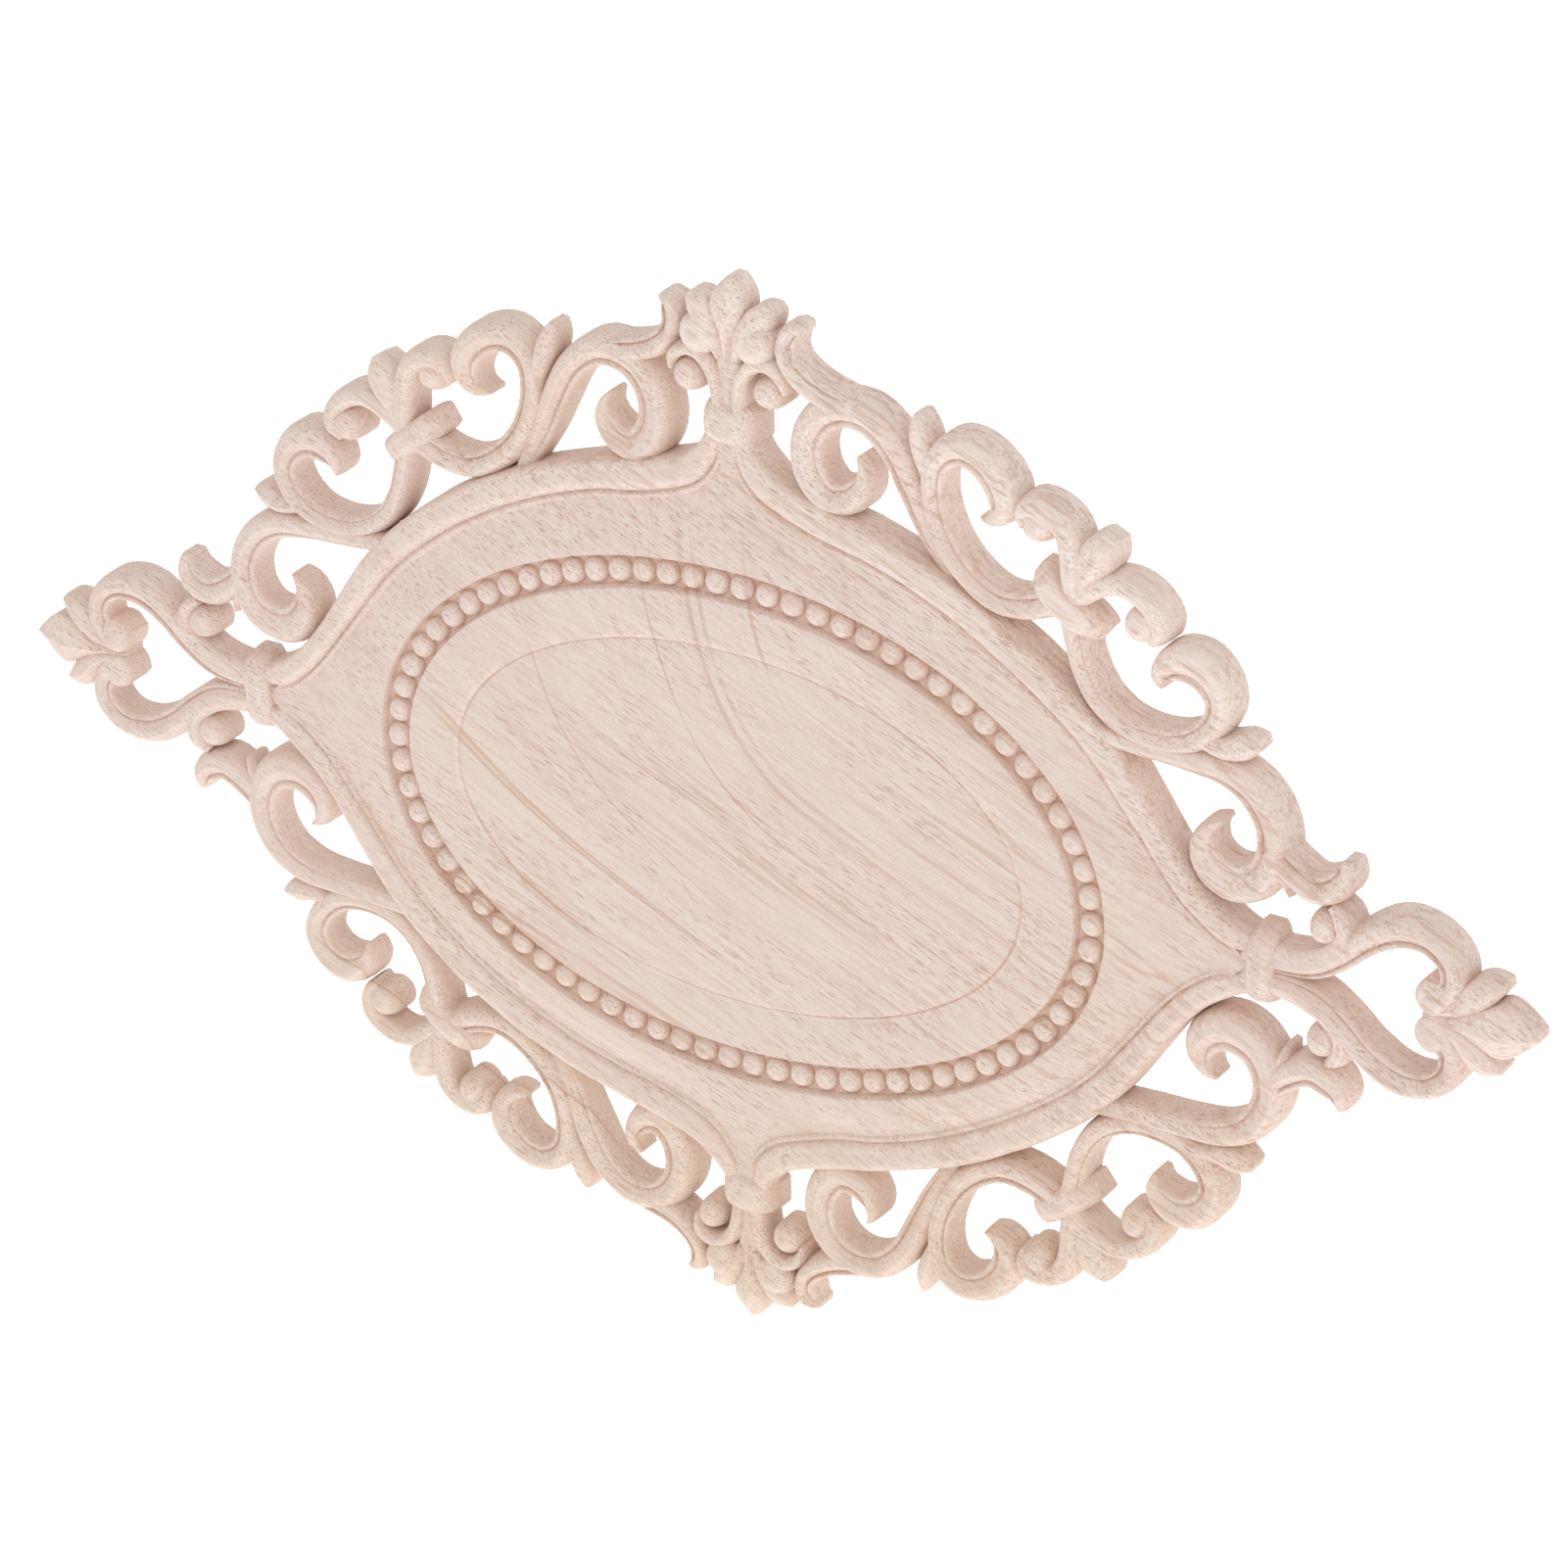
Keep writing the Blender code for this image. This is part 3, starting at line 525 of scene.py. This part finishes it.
class Shop:
    def __init__(self, name):
        self.material = bpy.data.materials.new(name)
        self.material.use_nodes = True
        self.tree = self.material.node_tree
        self.shader = self.tree.nodes["Principled BSDF"]

    def put(self, target, value):
        if isinstance(value, Value):
            self.tree.links.new(value.socket, target)
        else:
            target.default_value = value

    def node(self, kind, settings, inputs, output=0):
        made = self.tree.nodes.new(kind)
        for key, value in settings.items():
            setattr(made, key, value)
        for key, value in inputs.items():
            self.put(made.inputs[key], value)
        return Value(self, made.outputs[output])

    def split(self, vector):
        parts = self.tree.nodes.new("ShaderNodeSeparateXYZ")
        self.put(parts.inputs[0], vector)
        return [Value(self, parts.outputs[i]) for i in range(3)]

    def range(self, value, low, high, newLow=0.0, newHigh=1.0):
        return self.node("ShaderNodeMapRange", {"interpolation_type": "SMOOTHSTEP"},
                         {"Value": value, "From Min": low, "From Max": high,
                          "To Min": newLow, "To Max": newHigh})

    def blend(self, amount, first, second):
        return self.node("ShaderNodeMix", {"data_type": "RGBA"}, {0: amount, 6: first, 7: second}, output=2)

    def stretched(self, place, stretch):
        return self.node("ShaderNodeVectorMath", {"operation": "MULTIPLY"}, {0: place, 1: stretch})

    def noise(self, place, stretch, detail, roughness):
        return self.node("ShaderNodeTexNoise", {}, {"Vector": self.stretched(place, stretch), "Scale": 1.0,
                                                    "Detail": detail, "Roughness": roughness})


# Bare, sanded pale wood. The grain falls to the right across the front. Lengths are in millimetres, and
# a stretch gives a noise's size per millimetre along, into and across the grain.
wood = {
    "grainTurn": -24.0,
    "pink": (0.828, 0.711, 0.653, 1.0),
    "cream": (0.815, 0.690, 0.584, 1.0),
    # painted light: laid on towards the upper right, where the light falls
    "pale": (0.900, 0.800, 0.745, 1.0),
    "deep": (0.560, 0.350, 0.235, 1.0),
    "pore": (0.360, 0.155, 0.080, 1.0),
    # painted shade: browner in the hollows, the bead groove and on the upright walls
    "shade": (0.760, 0.470, 0.330, 1.0),
    # painted shade: darkens the flat faces that look straight out
    "paintedFlatShade": (0.470, 0.370, 0.305, 1.0),
    "ringSpacing": 14.0,
    "poreLength": 4.4,
    "poreAcross": 0.36,
    "roughness": 0.72,
    "specularLevel": 0.25,
    "bumpStrength": 0.35,
    "bumpDepth": 0.14,
}

# Stretch, detail and roughness of each noise. All but the end grain speckle lie along the grain.
woodNoise = {
    "warmth": ((0.012, 0.05, 0.03), 2.0, 0.5),
    "swell": ((0.009, 0.03, 0.018), 1.0, 0.5),
    "patches": ((0.02, 0.05, 0.05), 1.0, 0.5),
    "fibres": ((0.07, 2.2, 2.2), 4.0, 0.65),
    "streaks": ((0.030, 0.9, 0.9), 3.0, 0.6),
    "streakArea": ((0.014, 0.04, 0.04), 1.0, 0.5),
    "poreArea": ((0.03, 0.10, 0.09), 2.0, 0.5),
    "mottle": ((1.3, 2.3, 2.3), 3.0, 0.75),
    "endGrainAndWallShade": ((2.6, 1.5, 2.6), 2.0, 0.8),
}

# The most that each layer covers the colour below it.
woodShares = {
    # painted light towards the upper right
    "pale": 0.75,
    "bands": 0.14,
    "lines": 0.66,
    "fibres": 0.40,
    "streaks": 0.50,
    "pores": 0.66,
    "mottle": 0.16,
    # darker end grain on the walls, partly painted shade
    "endGrainAndWallShade": 0.16,
    # painted shade in the deep hollows, in the bead groove and on the upright walls
    "low": 0.08,
    "inGroove": 0.54,
    "upright": 0.03,
    # painted shade on the flat front faces
    "paintedFlatShade": 0.19,
    # painted shade along the step line round the oval
    "stepLineShade": 0.36,
}


def growthRings(shop, grain, patches, height):
    along, depth, across = shop.split(grain)
    arch = shop.range(along, -62.0, 12.0) * shop.range(across, -40.0, 45.0)    # steeper rings near the top
    swell = shop.noise(grain, *woodNoise["swell"])
    place = across * 0.5 + arch * 60.0 + depth * 0.6 + swell * 14.0
    bands = shop.node("ShaderNodeTexNoise", {"noise_dimensions": "1D"},
                      {"W": place * 0.16, "Scale": 1.0, "Detail": 3.0, "Roughness": 0.6})
    away = (place * (1.0 / wood["ringSpacing"]) + bands * 0.8).mixed("PINGPONG", 0.5)
    lines = shop.range(away, 0.026, 0.005) * shop.range(patches, 0.30, 0.46, 0.2, 1.0)
    lines = lines * shop.range(along, 32.0, -8.0, 0.12, woodShares["lines"])
    lines = lines * shop.range(along, -68.0, -48.0, 0.2, 1.0) * shop.range(height, 62.0, 30.0)
    return bands, lines


def woodPores(shop, grain):
    cellSize = (1.0 / wood["poreLength"], 1.0 / wood["poreAcross"], 1.0 / wood["poreAcross"])
    cells = shop.node("ShaderNodeTexVoronoi", {"feature": "F1"},
                      {"Vector": shop.stretched(grain, cellSize), "Scale": 1.0})
    area = shop.noise(grain, *woodNoise["poreArea"])
    return shop.range(cells, 0.30, 0.18) * shop.range(area, 0.40, 0.56, 0.10, 1.0)


def paleWood():
    shop = Shop("paleWood")
    place = shop.node("ShaderNodeTexCoord", {}, {}, output=3)
    grain = shop.node("ShaderNodeMapping", {}, {"Vector": place, "Scale": (1.0 / mm, 1.0 / mm, 1.0 / mm),
                                                "Rotation": (0.0, math.radians(wood["grainTurn"]), 0.0)})
    placeMm = shop.stretched(place, (1.0 / mm, 1.0 / mm, 1.0 / mm))
    x, y, z = shop.split(placeMm)
    geometry = shop.tree.nodes.new("ShaderNodeNewGeometry")
    facing = shop.split(Value(shop, geometry.outputs["Normal"]))[1].mixed("ABSOLUTE")

    warmth = shop.noise(grain, *woodNoise["warmth"]) * 0.9 + shop.range(z, -20.0, -90.0) * 0.45
    colour = shop.blend(shop.range(warmth, 0.35, 0.85), wood["pink"], wood["cream"])
    # Painted light: the wood is made paler towards the upper right, where the light falls.
    paintedLightUpperRight = shop.range(x + z * 2.0, 110.0, 200.0, 0.0, woodShares["pale"])    # towards the upper right
    colour = shop.blend(paintedLightUpperRight, colour, wood["pale"])

    patches = shop.noise(grain, *woodNoise["patches"])
    bands, lines = growthRings(shop, grain, patches, z)
    colour = shop.blend(shop.range(bands, 0.42, 0.72, 0.0, woodShares["bands"]), colour, wood["deep"])
    colour = shop.blend(lines, colour, wood["deep"])

    fibres = shop.noise(grain, *woodNoise["fibres"])
    colour = shop.blend(shop.range(fibres, 0.44, 0.70, 0.0, woodShares["fibres"]), colour, wood["deep"])
    streaks = shop.range(shop.noise(grain, *woodNoise["streaks"]), 0.50, 0.66)
    streakArea = shop.noise(grain, *woodNoise["streakArea"]) + x * 0.0016    # stronger towards the right
    streaky = shop.range(streakArea, 0.42, 0.66, 0.15, 1.0)
    colour = shop.blend(streaks * streaky * woodShares["streaks"], colour, wood["deep"])
    pores = woodPores(shop, grain)
    colour = shop.blend(pores * woodShares["pores"], colour, wood["pore"])
    mottle = shop.noise(grain, *woodNoise["mottle"])
    colour = shop.blend(shop.range(mottle, 0.38, 0.72, 0.0, woodShares["mottle"]), colour, wood["deep"])

    # The upright walls get a darker, speckled tone. This is partly the browner end grain and partly painted
    # shade where the walls get less light.
    upright = shop.range(facing, 0.85, 0.25)
    endGrainAndWallShade = shop.range(shop.noise(placeMm, *woodNoise["endGrainAndWallShade"]), 0.46, 0.66)
    colour = shop.blend(upright * endGrainAndWallShade * woodShares["endGrainAndWallShade"], colour, wood["deep"])
    front = shop.range(y, -3.0, -4.5)
    # Painted shade: browner the deeper a surface lies towards the back, much more so in the bead groove, and a
    # little on the upright walls.
    low = shop.range(y, -7.3, -4.4)
    overX = x * (1.0 / panel["stepEllipse"][0])
    overZ = (z + panel["lowered"]) * (1.0 / panel["stepEllipse"][1])
    fromMiddle = (overX * overX + overZ * overZ).mixed("SQRT")    # 1 on the step line
    inGroove = shop.range(fromMiddle, 1.50, 1.45) * front
    hollowShade = low * woodShares["low"] + low * inGroove * woodShares["inGroove"]
    hollowShade = hollowShade + upright * woodShares["upright"]
    colour = shop.blend(hollowShade, colour, wood["shade"])
    # Painted shade: the flat faces that look straight out to the front are darkened a little.
    flat = shop.range(facing, 0.93, 0.99, 0.0, woodShares["paintedFlatShade"]) * front
    colour = shop.blend(flat, colour, wood["paintedFlatShade"])
    # Painted shade: a thin dark line along the crease of the step line round the oval, fading in patches.
    stepLineShade = shop.range((fromMiddle - 1.0).mixed("ABSOLUTE"), 0.009, 0.002) * front
    stepLineShade = stepLineShade * shop.range(patches, 0.36, 0.56, 0.12, woodShares["stepLineShade"])
    colour = shop.blend(stepLineShade, colour, wood["deep"])

    height = fibres * 0.5 + mottle * 0.5 - pores * 0.4
    bump = shop.node("ShaderNodeBump", {}, {"Strength": wood["bumpStrength"], "Distance": wood["bumpDepth"] * mm,
                                            "Height": height})
    shop.put(shop.shader.inputs["Base Color"], colour)
    shop.put(shop.shader.inputs["Normal"], bump)
    shop.shader.inputs["Roughness"].default_value = wood["roughness"]
    shop.shader.inputs["Specular IOR Level"].default_value = wood["specularLevel"]
    return shop.material


def beadRowTree():
    tree = bpy.data.node_groups.new("beadRow", "GeometryNodeTree")
    face = tree.interface
    face.new_socket("Geometry", in_out="OUTPUT", socket_type="NodeSocketGeometry")
    for name, kind in (("Beads", "Int"), ("Radius", "Float"), ("Half width", "Float"),
                       ("Half height", "Float"), ("Middle height", "Float"), ("Unevenness", "Float"),
                       ("Seed", "Int"), ("Wood", "Material")):
        face.new_socket(name, in_out="INPUT", socket_type="NodeSocket" + kind)
    given = tree.nodes.new("NodeGroupInput")
    fullTurn = 6.28

    def add(kind, settings, inputs):
        made = tree.nodes.new(kind)
        for key, value in settings.items():
            setattr(made, key, value)
        for key, value in inputs.items():
            if isinstance(value, bpy.types.NodeSocket):
                tree.links.new(value, made.inputs[key])
            else:
                made.inputs[key].default_value = value
        return made.outputs

    ring = add("GeometryNodeCurvePrimitiveCircle", {}, {"Resolution": 720, "Radius": 1.0})
    back = add("ShaderNodeMath", {"operation": "MULTIPLY"}, {0: given.outputs["Middle height"], 1: -1.0})
    size = add("ShaderNodeCombineXYZ", {}, {0: given.outputs["Half width"], 1: given.outputs["Half height"],
                                            2: 1.0})
    shift = add("ShaderNodeCombineXYZ", {}, {0: 0.0, 1: back[0], 2: 0.0})
    oval = add("GeometryNodeTransform", {}, {"Geometry": ring[0], "Scale": size[0], "Translation": shift[0],
                                             "Rotation": (math.radians(90.0), 0.0, 0.0)})
    stops = add("GeometryNodeResampleCurve", {}, {"Curve": oval[0], "Count": given.outputs["Beads"]})
    ball = add("GeometryNodeMeshIcoSphere", {}, {"Radius": given.outputs["Radius"], "Subdivisions": 3})
    turn = add("FunctionNodeRandomValue", {"data_type": "FLOAT_VECTOR"},
               {0: (0.0, 0.0, 0.0), 1: (fullTurn, fullTurn, fullTurn), "Seed": given.outputs["Seed"]})
    least = add("ShaderNodeMath", {"operation": "SUBTRACT"}, {0: 1.0, 1: given.outputs["Unevenness"]})
    grow = add("FunctionNodeRandomValue", {"data_type": "FLOAT_VECTOR"},
               {0: least[0], 1: (1.0, 1.0, 1.0), "Seed": given.outputs["Seed"]})
    balls = add("GeometryNodeInstanceOnPoints", {}, {"Points": stops[0], "Instance": ball[0],
                                                     "Rotation": turn[0], "Scale": grow[0]})
    plain = add("GeometryNodeRealizeInstances", {}, {"Geometry": balls[0]})
    done = add("GeometryNodeSetMaterial", {}, {"Geometry": plain[0], "Material": given.outputs["Wood"]})
    out = tree.nodes.new("NodeGroupOutput")
    tree.links.new(done[0], out.inputs[0])
    return tree


def beadMesh(material):
    holder = bpy.data.objects.new("beadHolder", bpy.data.meshes.new("beadHolder"))
    bpy.context.scene.collection.objects.link(holder)
    step = holder.modifiers.new("beads", "NODES")
    tree = beadRowTree()
    step.node_group = tree
    sockets = {item.name: item.identifier for item in tree.interface.items_tree if item.in_out == "INPUT"}
    step[sockets["Beads"]] = beadRow["count"]
    step[sockets["Radius"]] = beadRow["radius"] * mm
    step[sockets["Half width"]] = beadRow["halfWidth"] * mm
    step[sockets["Half height"]] = beadRow["halfHeight"] * mm
    step[sockets["Middle height"]] = beadRow["middleHeight"] * mm
    step[sockets["Unevenness"]] = beadRow["unevenness"]
    step[sockets["Seed"]] = beadRow["seed"]
    step[sockets["Wood"]] = material
    beads = evaluatedMesh(holder)
    bpy.data.objects.remove(holder, do_unlink=True)
    return beads


def joinMeshes(target, extra):
    mesh = bmesh.new()
    mesh.from_mesh(target.data)
    mesh.from_mesh(extra)
    mesh.to_mesh(target.data)
    mesh.free()


# Where the photograph was taken from: in front, to the right and above.
camera = {
    "location": (0.55857, -0.84924, 0.51970),
    "right": (0.84324694, 0.53717806, -0.01934749),
    "up": (-0.22833424, 0.39055301, 0.89181378),
    "lens": 154.548,
    "sensorWidth": 36.0,
    "nearest": 0.01,
    "farthest": 50.0,
}

studio = {
    "floorLevel": -0.30,
    "floorHalf": 12.0,
    "floorColour": (0.92, 0.92, 0.92, 1.0),
    "floorRoughness": 0.9,
    "floorGlow": 0.6,
    "skyStrength": 0.69,
    "key": {"place": (0.50, -1.10, 1.25), "size": 0.9, "power": 3.0},
    "top": {"place": (0.6, -0.4, 2.2), "size": 2.6, "power": 7.0},
}


def placeCamera():
    data = bpy.data.cameras.new("camera")
    data.sensor_width = camera["sensorWidth"]
    data.lens = camera["lens"]
    data.clip_start = camera["nearest"]
    data.clip_end = camera["farthest"]
    obj = bpy.data.objects.new("camera", data)
    bpy.context.scene.collection.objects.link(obj)
    right, up = Vector(camera["right"]), Vector(camera["up"])
    turn = Matrix((right, up, right.cross(up))).transposed()
    obj.matrix_world = Matrix.Translation(camera["location"]) @ turn.to_4x4()
    bpy.context.scene.camera = obj


def addLight(name, values):
    data = bpy.data.lights.new(name, "AREA")
    data.shape = "SQUARE"
    data.size = values["size"]
    data.energy = values["power"]
    obj = bpy.data.objects.new(name, data)
    bpy.context.scene.collection.objects.link(obj)
    obj.location = values["place"]
    obj.rotation_euler = (-Vector(values["place"])).to_track_quat("-Z", "Y").to_euler()


def buildStudio():
    shop = Shop("paleFloor")
    white = (1.0, 1.0, 1.0, 1.0)
    shop.shader.inputs["Base Color"].default_value = studio["floorColour"]
    shop.shader.inputs["Roughness"].default_value = studio["floorRoughness"]
    shop.shader.inputs["Emission Color"].default_value = white
    shop.shader.inputs["Emission Strength"].default_value = studio["floorGlow"]
    plane = bmesh.new()
    bmesh.ops.create_grid(plane, x_segments=1, y_segments=1, size=studio["floorHalf"])
    floor = meshObject("paleFloor", plane)
    floor.location.z = studio["floorLevel"]
    floor.data.materials.append(shop.material)
    world = bpy.data.worlds.new("softSky")
    world.use_nodes = True
    sky = world.node_tree.nodes["Background"]
    sky.inputs["Color"].default_value = white
    sky.inputs["Strength"].default_value = studio["skyStrength"]
    bpy.context.scene.world = world
    addLight("keyLight", studio["key"])
    addLight("topLight", studio["top"])
    bpy.context.scene.view_settings.view_transform = "Standard"


placeCamera()
carving = wholeCarving()
timber = paleWood()
joinMeshes(carving, beadMesh(timber))
handUnevenness(carving.data)
carving.data.materials.clear()
carving.data.materials.append(timber)
carving.data.shade_smooth()
carving.data.set_sharp_from_angle(angle=math.radians(relief["sharpAngle"]))
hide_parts("applique")
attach(carving, "root")
print("carving finished:", len(carving.data.polygons), "faces")
buildStudio()
